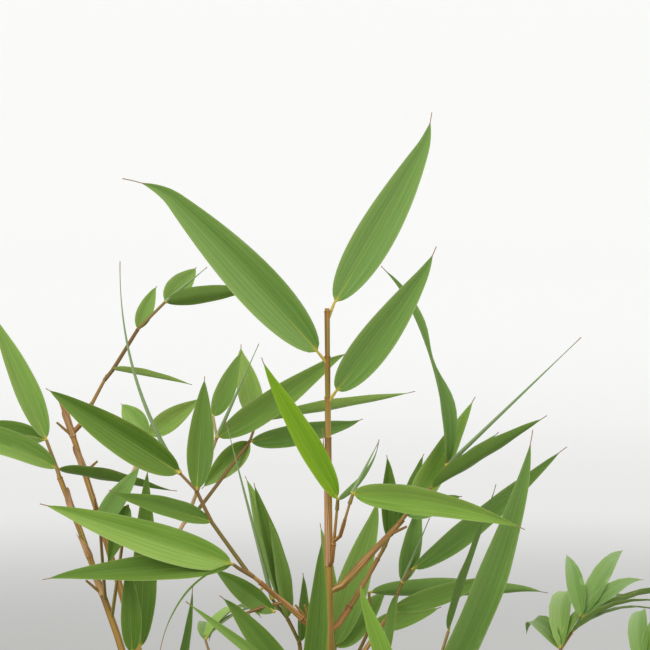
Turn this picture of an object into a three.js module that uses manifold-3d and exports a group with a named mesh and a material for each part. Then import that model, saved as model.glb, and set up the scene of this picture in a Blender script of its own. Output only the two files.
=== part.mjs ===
// A potted bamboo: a clump of thin canes in a plain clay pot, with its side branches and its sprays of
// narrow leaves. Millimetres, +Z up. The origin is the middle of the pot's flat underside, and the front
// of the plant faces -Y. A spray is one closed solid: a thin twig, with a pointed lobe for each leaf. In
// the dense lower part of the clump each lobe is a small bunch of leaves, and is fatter.
import * as THREE from "three";
import { mergeVertices } from "three/addons/utils/BufferGeometryUtils.js";
import Module from "manifold-3d";

const wasm = await Module();
wasm.setup();

// ---------------------------------------------------------------- driving sizes
const GAP = 0.3; // left between any two pieces
const POT = {
  height: 165,
  footRadius: 64,
  neckRadius: 83, // just under the rim band
  rimRadius: 96,
  rimHeight: 34,
  wall: 8,
  floor: 11,
  sides: 32,
  holes: 4,
  holeRadius: 6,
  holeCircle: 34, // the drainage holes stand round the middle of the floor
};
const COMPOST_TOP = 146; // the level that the canes rise from
const CANE_SIDES = 6;
const BRANCH_SIDES = 5;
const TWIG_SIDES = 4;
const TWIG_RADIUS = 1.5;
const ROOTED = 1; // how far inside its twig's end the first or last leaf begins
const NODE_SWELL = 1.28; // a cane's radius at a node, over its radius between nodes
const LEAF_THICK = 2.2;
const BUNCH_THICK = 9;
const LOBE_STATIONS = [0.1, 0.42, 0.78]; // places along a lobe, from its foot at 0 to its tip at 1
const LOBE_SHAPE = [0.55, 1, 0.6]; // its width there, over its greatest width
const SHRINK = 0.9; // a lobe that would touch its neighbour is made this much shorter, and tried again
const SHORTEST = 0.5; // until it is down to this share of its length, when it is left out

const MATERIALS = {
  clay: new THREE.MeshStandardMaterial({ color: 0xb4694a, roughness: 0.85 }),
  compost: new THREE.MeshStandardMaterial({ color: 0x2f2219, roughness: 1 }),
  cane: new THREE.MeshStandardMaterial({ color: 0x8a7a35, roughness: 0.5 }),
  branch: new THREE.MeshStandardMaterial({ color: 0xb0763f, roughness: 0.6 }),
  leaf: new THREE.MeshStandardMaterial({ color: 0x55853a, roughness: 0.5 }),
};

const group = new THREE.Group();
const placed = []; // every solid so far, so that later leaves can stay clear of it

// ---------------------------------------------------------------- small helpers
const at = (x, y, z) => new THREE.Vector3(x, y, z);
const radians = (degrees) => (degrees * Math.PI) / 180;

// A direction as the front shows it: rise turns from +X up towards +Z, and back leans it away from there.
function towards(rise, back) {
  const flat = Math.cos(radians(back));
  return at(flat * Math.cos(radians(rise)), Math.sin(radians(back)), flat * Math.sin(radians(rise)));
}

// The same random numbers on every run, from 0 to 1, so that the plant never changes.
function seeded(seed) {
  let state = seed;
  return () => {
    state = (Math.imul(state, 1664525) + 1013904223) >>> 0;
    return state / 2 ** 32;
  };
}

function solidOf(geometry) {
  const bare = geometry.clone();
  bare.deleteAttribute("normal");
  bare.deleteAttribute("uv");
  const merged = mergeVertices(bare, 1e-3);
  return new wasm.Manifold(
    new wasm.Mesh({
      numProp: 3,
      vertProperties: new Float32Array(merged.attributes.position.array),
      triVerts: new Uint32Array(merged.index.array),
    }),
  );
}

function geometryOf(solid) {
  const mesh = solid.getMesh();
  const geometry = new THREE.BufferGeometry();
  geometry.setAttribute("position", new THREE.BufferAttribute(new Float32Array(mesh.vertProperties), 3));
  geometry.setIndex(new THREE.BufferAttribute(new Uint32Array(mesh.triVerts), 1));
  geometry.computeVertexNormals();
  return geometry;
}

function addPiece(name, solid, material) {
  const mesh = new THREE.Mesh(geometryOf(solid), material);
  mesh.name = name;
  group.add(mesh);
  placed.push({ solid, box: solid.boundingBox() });
}

const boxesMeet = (a, b) => [0, 1, 2].every((k) => a.min[k] < b.max[k] && b.min[k] < a.max[k]);

function touchesPlaced(solid) {
  const box = solid.boundingBox();
  return placed.some((piece) => boxesMeet(piece.box, box) && solid.intersect(piece.solid).volume() > 0);
}

// ---------------------------------------------------------------- pot and compost
const insideRadius = (z) =>
  THREE.MathUtils.mapLinear(z, 0, POT.height, POT.footRadius, POT.neckRadius + 2) - POT.wall;

const turned = (outline) =>
  solidOf(
    new THREE.LatheGeometry(
      outline.map(([r, z]) => new THREE.Vector2(r, z)),
      POT.sides,
    ).rotateX(Math.PI / 2),
  );

function potSolid() {
  const band = POT.height - POT.rimHeight; // where the thick rim band begins
  let pot = turned([
    [0, 0],
    [POT.footRadius - 2, 0],
    [POT.footRadius, 2],
    [POT.neckRadius, band],
    [POT.rimRadius - 5, band + 1.5],
    [POT.rimRadius - 3, band + 4],
    [POT.rimRadius, POT.height - 3],
    [POT.rimRadius - 2, POT.height],
    [insideRadius(POT.height) + 2, POT.height],
    [insideRadius(POT.height), POT.height - 3],
    [insideRadius(POT.floor), POT.floor],
    [0, POT.floor],
  ]);
  for (let i = 0; i < POT.holes; i++) {
    const bearing = ((i + 0.5) / POT.holes) * 2 * Math.PI;
    const drill = new THREE.CylinderGeometry(POT.holeRadius, POT.holeRadius, 4 * POT.floor, 12)
      .rotateX(Math.PI / 2)
      .translate(POT.holeCircle * Math.cos(bearing), POT.holeCircle * Math.sin(bearing), 0);
    pot = pot.subtract(solidOf(drill));
  }
  return pot;
}

const compostSolid = () =>
  turned([
    [0, POT.floor + GAP],
    [insideRadius(POT.floor + GAP) - GAP, POT.floor + GAP],
    [insideRadius(COMPOST_TOP) - GAP, COMPOST_TOP],
    [0, COMPOST_TOP],
  ]);

// ---------------------------------------------------------------- canes and branches
// A limb is a cylinder whose rings are set square to a curve. radiusAt gives each ring its radius, and a
// limb with a level foot is cut flat there.
function limbSolid(curve, stations, radiusAt, sides, levelFoot = false) {
  const last = stations.length - 1;
  const shape = new THREE.CylinderGeometry(1, 1, 1, sides, last);
  const places = shape.attributes.position;
  for (let i = 0; i < places.count; i++) {
    const ring = Math.round((places.getY(i) + 0.5) * last);
    const s = stations[ring];
    const along = levelFoot && ring === 0 ? at(0, 0, 1) : curve.getTangent(s);
    const across = at(1, 0, 0).addScaledVector(along, -along.x).normalize();
    const third = across.clone().cross(along);
    const r = radiusAt(s, ring);
    const p = curve
      .getPoint(s)
      .addScaledVector(across, places.getX(i) * r)
      .addScaledVector(third, places.getZ(i) * r);
    places.setXYZ(i, p.x, p.y, p.z);
  }
  return solidOf(shape);
}

const limbs = {}; // each limb's curve and taper, by name, for what grows on it

// A cane rises from the compost to its tip. early is how much of its sideways reach it has made halfway
// up: under 0.5 it arches outwards, and over 0.5 it leans first and then stands.
function addCane(name, { foot, tip, radius, nodes, early = 0.5 }) {
  const base = at(foot[0], foot[1], COMPOST_TOP + GAP);
  const end = at(...tip);
  const middle = base.clone().lerp(end, 0.5);
  middle.x = THREE.MathUtils.lerp(base.x, end.x, early);
  middle.y = THREE.MathUtils.lerp(base.y, end.y, early);
  const curve = new THREE.QuadraticBezierCurve3(base, middle, end);
  const stations = [0];
  for (let n = 1; n <= nodes; n++) {
    const s = (n / (nodes + 0.6)) ** 0.9; // the lengths between nodes shorten towards the tip
    stations.push(s - 0.006, s + 0.006);
  }
  stations.push(1);
  const isNode = (ring) => ring % 2 === 1 && ring < stations.length - 1;
  const taper = (s) => radius * (1 - 0.55 * s);
  const flare = (s) => 1 + 0.35 * Math.max(0, 1 - s / 0.06);
  const radiusAt = (s, ring) => taper(s) * flare(s) * (isNode(ring) ? NODE_SWELL : 1);
  limbs[name] = { curve, taper };
  addPiece(name, limbSolid(curve, stations, radiusAt, CANE_SIDES, true), MATERIALS.cane);
}

// Where a limb passes a height, found by halving.
function passing(name, height) {
  const { curve, taper } = limbs[name];
  let low = 0;
  let high = 1;
  while (high - low > 1e-6) {
    const s = (low + high) / 2;
    if (curve.getPoint(s).z < height) low = s;
    else high = s;
  }
  return { point: curve.getPoint(low), along: curve.getTangent(low), radius: taper(low) * NODE_SWELL };
}

// A branch leaves another limb at a height, just clear of its skin, and ends where its leaves begin.
function addBranch(name, { from, height, end, radius, bow = 0 }) {
  const parent = passing(from, height);
  const target = at(...end);
  const way = target.clone().sub(parent.point).normalize();
  const clear = (parent.radius + radius + GAP) / Math.sin(way.angleTo(parent.along));
  const base = parent.point.addScaledVector(way, clear);
  const middle = base.clone().lerp(target, 0.5);
  middle.z += bow;
  const curve = new THREE.QuadraticBezierCurve3(base, middle, target);
  const stations = [0, 0.45, 0.5, 1];
  const taper = (s) => radius * (1 - 0.35 * s);
  const radiusAt = (s, ring) => taper(s) * (ring === 1 ? NODE_SWELL : 1);
  limbs[name] = { curve, taper };
  addPiece(name, limbSolid(curve, stations, radiusAt, BRANCH_SIDES), MATERIALS.branch);
}

// ---------------------------------------------------------------- leaves and sprays
// A lobe is a sphere with four sides, drawn out along a bent spine into a flat, pointed blade. facing is
// the way its upper side looks, and arch and sweep bend the spine upwards and sideways.
function lobeSolid(root, lobe, size = 1, grow = 0) {
  const { along, facing, thick, arch, sweep } = lobe;
  const length = lobe.length * size;
  const width = lobe.width * Math.sqrt(size) + grow;
  const up = at(0, 0, 1).addScaledVector(along, -along.z).normalize();
  const side = along.clone().cross(up);
  const normal = facing.clone().addScaledVector(along, -facing.dot(along)).normalize();
  const across = along.clone().cross(normal);
  const last = LOBE_STATIONS.length + 1;
  const shape = new THREE.SphereGeometry(1, 4, last);
  const places = shape.attributes.position;
  for (let i = 0; i < places.count; i++) {
    const polar = Math.acos(THREE.MathUtils.clamp(places.getY(i), -1, 1));
    const ring = last - Math.round((polar / Math.PI) * last);
    const isPoint = ring === 0 || ring === last;
    const t = isPoint ? ring / last : LOBE_STATIONS[ring - 1];
    const share = isPoint ? 0 : LOBE_SHAPE[ring - 1] / Math.sin(polar);
    const bend = 4 * length * (t - t * t);
    const p = root
      .clone()
      .addScaledVector(along, length * t)
      .addScaledVector(up, arch * bend)
      .addScaledVector(side, sweep * bend)
      .addScaledVector(across, (places.getX(i) * share * width) / 2)
      .addScaledVector(normal, (places.getZ(i) * share * (thick + grow)) / 2);
    places.setXYZ(i, p.x, p.y, p.z);
  }
  return solidOf(shape);
}

// A leaf of the upper plant, told as the front shows it. turn rolls it about its own length, from facing
// the front to lying edge on.
function leaf(rise, back, length, width, { turn = 0, arch = 0, sweep = 0, on = 0 } = {}) {
  const along = towards(rise, back);
  const facing = at(0, -1, 0).addScaledVector(along, along.y).normalize();
  facing.applyAxisAngle(along, radians(turn));
  return { along, facing, length, width, thick: LEAF_THICK, arch, sweep, on };
}

// A spray's twig runs through its points, and each leaf's on counts along them: 0 is the first point.
function addSpray(name, points, leaves) {
  const last = points.length - 1;
  const path = new THREE.CatmullRomCurve3(points.map((p) => at(...p)));
  const stations = points.map((_, i) => i / last);
  let spray = limbSolid(path, stations, () => TWIG_RADIUS, TWIG_SIDES);
  const inset = ROOTED / path.getLength();
  for (const lobe of leaves) {
    const root = path.getPoint(THREE.MathUtils.clamp(lobe.on / last, inset, 1 - inset));
    let size = 1;
    while (size > SHORTEST && touchesPlaced(lobeSolid(root, lobe, size, 2 * GAP))) size *= SHRINK;
    if (size <= SHORTEST) continue;
    spray = spray.add(lobeSolid(root, lobe, size));
  }
  addPiece(name, spray, MATERIALS.leaf);
}

// A leaf that stands on a cane by itself.
const addLeaf = (name, root, blade) => addPiece(name, lobeSolid(at(...root), blade), MATERIALS.leaf);

// The lower clump's sprays grow out from a cane by a rule: lobes in turn to the left and right of a
// rising twig, the first ones low and wide and the last one straight on.
const chance = seeded(7);
const between = (low, high) => low + (high - low) * chance();
const BUNCH = { reach: 52, lobes: 5, length: 84, width: 25, spread: 62 };

function addBunch(name, { cane, height, bearing, climb = 40 }) {
  const parent = passing(cane, height);
  const out = at(Math.cos(radians(bearing)), Math.sin(radians(bearing)), 0);
  const aside = at(-out.y, out.x, 0);
  const way = out.clone().multiplyScalar(Math.cos(radians(climb)));
  way.z = Math.sin(radians(climb));
  const clear = (parent.radius + TWIG_RADIUS + GAP) / Math.sin(way.angleTo(parent.along));
  const foot = parent.point.addScaledVector(way, clear);
  const end = foot.clone().addScaledVector(way, BUNCH.reach);
  const lobes = [];
  for (let i = 0; i < BUNCH.lobes; i++) {
    const share = i / (BUNCH.lobes - 1);
    const hand = i % 2 === 0 ? 1 : -1;
    const swing = hand * radians(BUNCH.spread * (1 - 0.75 * share) + between(-12, 12));
    const lift = radians(between(-14, 22) + 25 * share);
    const along = out.clone().multiplyScalar(Math.cos(swing)).addScaledVector(aside, Math.sin(swing));
    along.multiplyScalar(Math.cos(lift)).z = Math.sin(lift);
    lobes.push({
      along,
      facing: at(0, 0, 1).addScaledVector(aside, between(-0.5, 0.5)),
      length: BUNCH.length * between(0.8, 1.15),
      width: BUNCH.width * between(0.85, 1.15),
      thick: BUNCH_THICK,
      arch: between(0.06, 0.13),
      sweep: between(-0.03, 0.03),
      on: 0.15 + 0.85 * share,
    });
  }
  addSpray(name, [foot.toArray(), end.toArray()], lobes);
}

// ---------------------------------------------------------------- the plant
addPiece("pot", potSolid(), MATERIALS.clay);
addPiece("compost", compostSolid(), MATERIALS.compost);

addCane("cane_leader", { foot: [5, 5], tip: [1.7, -2, 563], radius: 2.7, nodes: 9 });
addCane("cane_left", { foot: [-27, -7], tip: [-112, 8, 492], radius: 2.5, nodes: 7, early: 0.17 });
addCane("cane_left_back", { foot: [-22, 21], tip: [-119, 57, 524], radius: 2.6, nodes: 8, early: 0.3 });
addCane("cane_left_front", { foot: [-24, -30], tip: [-104, -92, 372], radius: 2.2, nodes: 5, early: 0.25 });
addCane("cane_front", { foot: [-4, -38], tip: [-10, -46, 384], radius: 2.2, nodes: 5, early: 0.7 });
addCane("cane_front_right", { foot: [24, -26], tip: [34, -37, 384], radius: 2.3, nodes: 5, early: 0.6 });
addCane("cane_right", { foot: [38, -2], tip: [122, -14, 410], radius: 2.4, nodes: 6, early: 0.22 });
addCane("cane_right_back", { foot: [30, 24], tip: [96, 94, 380], radius: 2.3, nodes: 6, early: 0.28 });
addCane("cane_back", { foot: [3, 36], tip: [5, 54, 408], radius: 2.4, nodes: 6, early: 0.6 });
addCane("cane_back_left", { foot: [-16, 44], tip: [-52, 122, 388], radius: 2.2, nodes: 5, early: 0.25 });

addBranch("branch_right", { from: "cane_leader", height: 441, end: [33, 4, 473], radius: 2 });
addBranch("branch_inner", { from: "cane_leader", height: 424, end: [27, 20, 461], radius: 1.3, bow: -2 });
addBranch("branch_low_right", { from: "cane_leader", height: 400, end: [28, 8, 433], radius: 1.5, bow: -2 });
addBranch("branch_left", { from: "cane_leader", height: 423, end: [-31, -6, 453], radius: 1.5 });
addBranch("branch_centre", { from: "cane_leader", height: 382, end: [-8, 8, 410], radius: 1.2 });
addBranch("branch_young", { from: "cane_leader", height: 445, end: [6, -13, 482], radius: 0.9 });
addBranch("branch_fork", { from: "branch_young", height: 456, end: [11.5, -19, 485], radius: 0.8, bow: 0 });
addBranch("branch_far", { from: "cane_left_back", height: 425, end: [-61, 72, 470], radius: 1.5 });
addBranch("branch_far_left", { from: "cane_left_back", height: 462, end: [-83, 88, 500], radius: 1.2 });
addBranch("branch_far_top", { from: "cane_left_back", height: 505, end: [-98, 60, 533], radius: 1.2 });

// The leader's three big leaves.
addLeaf("leaf_top_left", [-1.6, -3, 544], leaf(136, -6, 102, 20, { arch: 0.02 }));
addLeaf("leaf_top", [4.6, 0, 565], leaf(62, 7, 88, 17.6, { arch: -0.02 }));
addLeaf("leaf_top_right", [5.2, -3, 528], leaf(55, -14, 71, 16, { arch: -0.02 }));

// The young shoots in the middle.
addSpray("spray_young", [[6, -13.4, 483], [6.2, -14, 485]], [
  leaf(118, -14, 66, 13, { turn: 40, arch: -0.02, on: 1 }),
  leaf(50, 30, 30, 6, { turn: 55, arch: -0.12, on: 1 }),
]);
addSpray("spray_fork", [[11.8, -19.6, 486], [11.9, -20, 488]], [
  leaf(62, 15, 24, 2.4, { on: 1 }),
  leaf(-8, -32, 76, 14, { turn: 30, arch: 0.05, on: 1 }),
]);

// The right-hand sprays.
addSpray("spray_right", [[34, 6, 475], [45.5, 5, 486.5], [52.5, 5, 497]], [
  leaf(16, 18, 26, 9),
  leaf(58, 13, 57, 13, { turn: 25 }),
  leaf(34, -14, 56, 12, { turn: 50, on: 1 }),
  leaf(39, 9, 37, 9, { turn: 65, on: 1 }),
  leaf(44, -3, 76, 2.6, { on: 2 }),
  leaf(107, 5, 87, 14, { turn: 55, arch: 0.08, on: 2 }),
]);
addSpray("spray_inner", [[28, 21, 462.6], [31.5, 23, 472]], [
  leaf(91, 3, 35, 9, { turn: 20 }),
  leaf(66, 11, 31, 9, { turn: 35, on: 1 }),
]);
addSpray("spray_low_right", [[29.3, 8.6, 435], [33.5, 9, 446.5], [38, 7, 453]], [
  leaf(13, 23, 51, 11, { turn: 25 }),
  leaf(-101, -32, 33, 7, { turn: 55, on: 0.6 }),
  leaf(77, 19, 36, 10, { turn: 20, on: 1 }),
  leaf(66, 8, 29, 2.4, { on: 1 }),
  leaf(37, 10, 82, 14, { turn: 35, on: 2 }),
]);
addSpray("spray_right_far", [[12, 44, 403], [21, 33, 424], [20, 31, 440]], [
  leaf(13, 11, 31, 9, { on: 1 }),
  leaf(-2, 14, 80, 12, { turn: 35, on: 2 }),
]);

// The front sprays.
addSpray("spray_front_right", [[34.6, -37.6, 386], [40, -32, 399], [52, -14, 431]], [
  leaf(107, 8, 68, 12, { turn: 40 }),
  leaf(69, -5, 118, 17, { turn: 30, arch: -0.03, on: 1 }),
  leaf(73, -9, 62, 11, { turn: 68, on: 2 }),
  leaf(20, -30, 70, 13, { turn: 30, arch: 0.08 }),
]);
addSpray("spray_front", [[-10, -45.6, 386], [-7.5, -41, 402]], [
  leaf(84, 8, 68, 13, { turn: 38, on: 1 }),
  leaf(150, -35, 76, 13, { turn: 30, arch: 0.08 }),
  leaf(20, -50, 70, 12, { turn: 30, arch: 0.1 }),
]);

// The left-hand sprays.
addSpray("spray_left", [[-32, -6, 454.5], [-46.5, -6, 474], [-52.7, -6, 487], [-60, -5, 494.5]], [
  leaf(160, -24, 45, 10, { turn: 40, on: 1 }),
  leaf(88, 30, 52, 12, { turn: 15, on: 2 }),
  leaf(147, -5, 64, 16, { on: 3 }),
  leaf(107, 6, 90, 2.8, { arch: -0.08, on: 3 }),
]);
addSpray("spray_left_low", [[-34.5, -10.5, 455], [-37.5, -15.5, 458]], [
  leaf(160, -17, 81, 15, { on: 1 }),
  leaf(-177, -11, 75, 13, { turn: 35, on: 1 }),
  leaf(-135, -35, 46, 8, { turn: 70, arch: 0.15, on: 1 }),
]);
addLeaf("leaf_left_under", [-20, -10, 437], leaf(149, 27, 33, 10));
addSpray("spray_left_foot", [[-8, -12, 396], [-12, -18, 410]], [
  leaf(131, 8, 45, 11, { turn: 20, on: 1 }),
  leaf(143, 0, 54, 2.6, { on: 1 }),
]);
addSpray("spray_centre", [[-9, 9, 412], [-10, 9.5, 421], [-15, 10, 431], [-22, 4, 441]], [
  leaf(87, 20, 29, 8, { turn: 50, on: 1 }),
  leaf(109, 34, 71, 12, { turn: 35, on: 2 }),
  leaf(104, 0, 58, 11, { turn: 40, on: 2 }),
  leaf(100, -13, 45, 9, { turn: 45, on: 2 }),
  leaf(105, 5, 76, 2.6, { on: 3 }),
]);

// The sprays at the back.
addSpray("spray_back", [[5, 55, 410], [4, 58, 428]], [
  leaf(73, 8, 68, 15),
  leaf(43, 25, 36, 13),
  leaf(98, 15, 38, 8, { turn: 45, on: 1 }),
]);
addSpray("spray_far", [[-60.6, 73, 472.4], [-49, 74, 504], [-51, 78, 514]], [
  leaf(33, 7, 71, 14, { turn: 20, on: 1 }),
  leaf(66, 5, 46, 2.6, { on: 1 }),
  leaf(67, 17, 33, 10, { turn: 20, on: 2 }),
]);
addSpray("spray_far_right", [[-57.5, 77, 471], [-34, 80, 502], [-31, 86, 511]], [
  leaf(10, 15, 54, 12, { turn: 25, on: 1 }),
  leaf(-135, 20, 33, 12, { on: 1 }),
  leaf(10, 17, 76, 10, { turn: 55, on: 2 }),
  leaf(103, 22, 38, 12, { on: 2 }),
]);
addSpray("spray_far_left", [[-82.8, 88.8, 501.6], [-82, 90, 505]], [
  leaf(137, 45, 28, 12, { on: 1 }),
  leaf(36, 20, 30, 11, { on: 1 }),
]);
addSpray("spray_far_top", [[-96.6, 60, 535], [-84, 60, 554], [-71, 60, 567]], [
  leaf(-10, -15, 38, 8, { turn: 70 }),
  leaf(69, 26, 23, 8, { on: 1 }),
  leaf(52, 44, 28, 11, { on: 2 }),
  leaf(40, 5, 24, 2.4, { on: 2 }),
  leaf(9, 2, 41, 10, { turn: 35, on: 2 }),
]);

// The left edge of the clump.
addLeaf("leaf_left_upright", [-78, 12, 418], leaf(89, 14, 76, 12, { turn: 30 }));
addSpray("spray_left_tip", [[-112.6, 8.4, 494], [-118, 10, 508]], [
  leaf(-16, 41, 62, 10, { turn: 50 }),
  leaf(165, -20, 66, 13, { turn: 25, arch: 0.08 }),
  leaf(115, 10, 60, 12, { turn: 30, on: 1 }),
  leaf(190, 20, 58, 12, { turn: 25, arch: 0.1, on: 1 }),
]);
addSpray("spray_left_low_edge", [[-63, -3, 384], [-65, -2, 395]], [
  leaf(79, 7, 51, 9, { turn: 60, on: 1 }),
  leaf(150, -30, 60, 13, { turn: 30, arch: 0.08 }),
  leaf(30, -40, 62, 12, { turn: 30, arch: 0.08 }),
]);

// The lower clump, all round.
addBunch("foliage_right_tip", { cane: "cane_right", height: 404, bearing: -8 });
addBunch("foliage_right", { cane: "cane_right", height: 330, bearing: -40 });
addBunch("foliage_right_low", { cane: "cane_right", height: 262, bearing: 25 });
addBunch("foliage_right_back_tip", { cane: "cane_right_back", height: 374, bearing: 45 });
addBunch("foliage_right_back", { cane: "cane_right_back", height: 290, bearing: 70 });
addBunch("foliage_back", { cane: "cane_back", height: 320, bearing: 95 });
addBunch("foliage_back_left_tip", { cane: "cane_back_left", height: 382, bearing: 112 });
addBunch("foliage_back_left", { cane: "cane_back_left", height: 275, bearing: 145 });
addBunch("foliage_left_back", { cane: "cane_left_back", height: 305, bearing: 165 });
addBunch("foliage_left", { cane: "cane_left", height: 300, bearing: 190 });
addBunch("foliage_left_front_tip", { cane: "cane_left_front", height: 366, bearing: 222 });
addBunch("foliage_left_front", { cane: "cane_left_front", height: 262, bearing: 245 });
addBunch("foliage_front", { cane: "cane_front", height: 310, bearing: 265 });
addBunch("foliage_front_right", { cane: "cane_front_right", height: 290, bearing: 300 });

export default group;
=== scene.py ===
# %% [markdown]
# # A potted bamboo
# A young clump of bamboo in a clay pot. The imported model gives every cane, side branch and spray as a
# plain solid, and this lesson grows the real plant over them: noded canes with papery sheaths, twigs, and
# a few hundred narrow leaves. Little is placed by eye: each cane's line and nearly every leaf's place is
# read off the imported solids, so the plant stays where the frame has it.

# %% Load the frame
import math
import random

import bmesh
import bpy
import numpy as np
from mathutils import Matrix, Vector


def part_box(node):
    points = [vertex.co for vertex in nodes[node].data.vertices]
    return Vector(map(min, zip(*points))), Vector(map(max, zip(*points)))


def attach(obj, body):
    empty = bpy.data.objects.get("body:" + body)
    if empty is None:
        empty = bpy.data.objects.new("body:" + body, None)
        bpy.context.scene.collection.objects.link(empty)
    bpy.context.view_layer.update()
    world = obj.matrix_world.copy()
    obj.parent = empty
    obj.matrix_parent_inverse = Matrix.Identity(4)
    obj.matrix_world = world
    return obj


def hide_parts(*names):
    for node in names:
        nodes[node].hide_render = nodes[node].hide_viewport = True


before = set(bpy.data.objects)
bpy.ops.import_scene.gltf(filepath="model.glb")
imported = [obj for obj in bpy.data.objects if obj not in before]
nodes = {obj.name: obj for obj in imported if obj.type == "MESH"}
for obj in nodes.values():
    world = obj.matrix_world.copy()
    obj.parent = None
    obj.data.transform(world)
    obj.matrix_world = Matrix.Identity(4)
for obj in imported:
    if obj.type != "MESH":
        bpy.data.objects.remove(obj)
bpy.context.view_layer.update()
MM = 0.001
print(len(nodes), "packed nodes")

# %% [markdown]
# Operators act on whatever is selected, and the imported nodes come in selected. So a step first selects
# nothing, and then only the piece that it works on. A new primitive is named at once, because everything
# later finds it by its name. What repeats is modelled once and copied, each copy with its own mesh.

# %% Small workshop helpers
WELD = 2e-6


def alone(piece):
    """Makes a piece the only one that operators act on."""
    bpy.ops.object.select_all(action="DESELECT")
    piece.select_set(True)
    bpy.context.view_layer.objects.active = piece
    return piece


def begin(add, name, **where):
    """Adds a primitive as the one selected object and names it."""
    bpy.ops.object.select_all(action="DESELECT")
    add(**where)
    piece = bpy.context.object
    piece.name = piece.data.name = name
    return piece


def twin(piece, name):
    """A copy of a piece, with a mesh of its own."""
    copy = piece.copy()
    copy.data = piece.data.copy()
    copy.name = copy.data.name = name
    bpy.context.collection.objects.link(copy)
    return copy


def modified(piece, kind, **settings):
    """Adds a modifier to a piece, sets it and applies it."""
    alone(piece)
    bpy.ops.object.modifier_add(type=kind)
    modifier = piece.modifiers[-1]
    for setting, choice in settings.items():
        setattr(modifier, setting, choice)
    bpy.ops.object.modifier_apply(modifier=modifier.name)
    return piece


def places(mesh):
    """A mesh's vertices as rows of x, y and z."""
    flat = np.empty(len(mesh.vertices) * 3)
    mesh.vertices.foreach_get("co", flat)
    return flat.reshape(-1, 3)


def set_places(mesh, rows):
    """Moves a mesh's vertices to rows of x, y and z."""
    mesh.vertices.foreach_set("co", np.ascontiguousarray(rows, dtype=float).ravel())
    mesh.update()


def joined(pieces, name):
    """Many small pieces made one, which is then the object that rides and is exported."""
    bpy.ops.object.select_all(action="DESELECT")
    for piece in pieces:
        piece.select_set(True)
    bpy.context.view_layer.objects.active = pieces[0]
    if len(pieces) > 1:
        bpy.ops.object.join()
    whole = bpy.context.object
    whole.name = whole.data.name = name
    return whole


def unit(v):
    return v / np.linalg.norm(v)


print("pieces are welded where points are nearer than", WELD / MM, "mm")

# %% [markdown]
# ## The camera
# A close view of a plant's top is taken from a little way off with a long lens, level with the leaves, so
# that upright leaves stay upright. A wide lens from nearer would make the front leaves swell. Colours are
# shown as they are, with no film look, because the pale backdrop should stay pale.

# %% Camera
VIEW_FROM = 0.75
EYE_HEIGHT = 0.556
FIELD = 20.62
SIDE_SHIFT = 2 / 650
bpy.ops.object.camera_add(location=(0, -VIEW_FROM, EYE_HEIGHT), rotation=(math.pi / 2, 0, 0))
camera = bpy.context.object
camera.name = "camera"
camera.data.angle = math.radians(FIELD)
camera.data.shift_x = SIDE_SHIFT
camera.data.clip_start = 0.02
bpy.context.scene.camera = camera
bpy.context.scene.view_settings.view_transform = "Standard"
print("lens", round(camera.data.lens), "mm")

# %% [markdown]
# ## Shader maths as plain expressions
# A finish here is worked out from where a point lies on its leaf or cane, and that takes a lot of sums. They
# could be drawn as node links one by one, but a node tree is easier to read as arithmetic. So Value wraps
# one socket, and adding or multiplying two of them puts in the Math node that does it. Every other node
# comes from one method of Paint, which stands for a whole material.

# %% Shader helpers
class Value:
    """One number that varies over a surface."""

    def __init__(self, paint, socket):
        self.paint, self.socket = paint, socket

    def maths(self, operation, *others, clamp=False):
        inputs = dict(enumerate([self, *others]))
        return self.paint.add("Math", inputs, operation=operation, use_clamp=clamp)

    def __add__(self, other):
        return self.maths("ADD", other)

    def __mul__(self, other):
        return self.maths("MULTIPLY", other)

    def __sub__(self, other):
        return self.maths("SUBTRACT", other)

    def __rsub__(self, other):
        return (self * -1) + other

    def __truediv__(self, other):
        return self.maths("DIVIDE", other)

    def __pow__(self, other):
        return self.maths("POWER", other)

    __radd__, __rmul__ = __add__, __mul__

    def size(self):
        return self.maths("ABSOLUTE")

    def step(self, low, high):
        """0 below low, 1 above high, and smooth between. Low may be the greater, to turn it round."""
        inputs = {"Value": self, "From Min": low, "From Max": high}
        return self.paint.add("MapRange", inputs, interpolation_type="SMOOTHSTEP")


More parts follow.
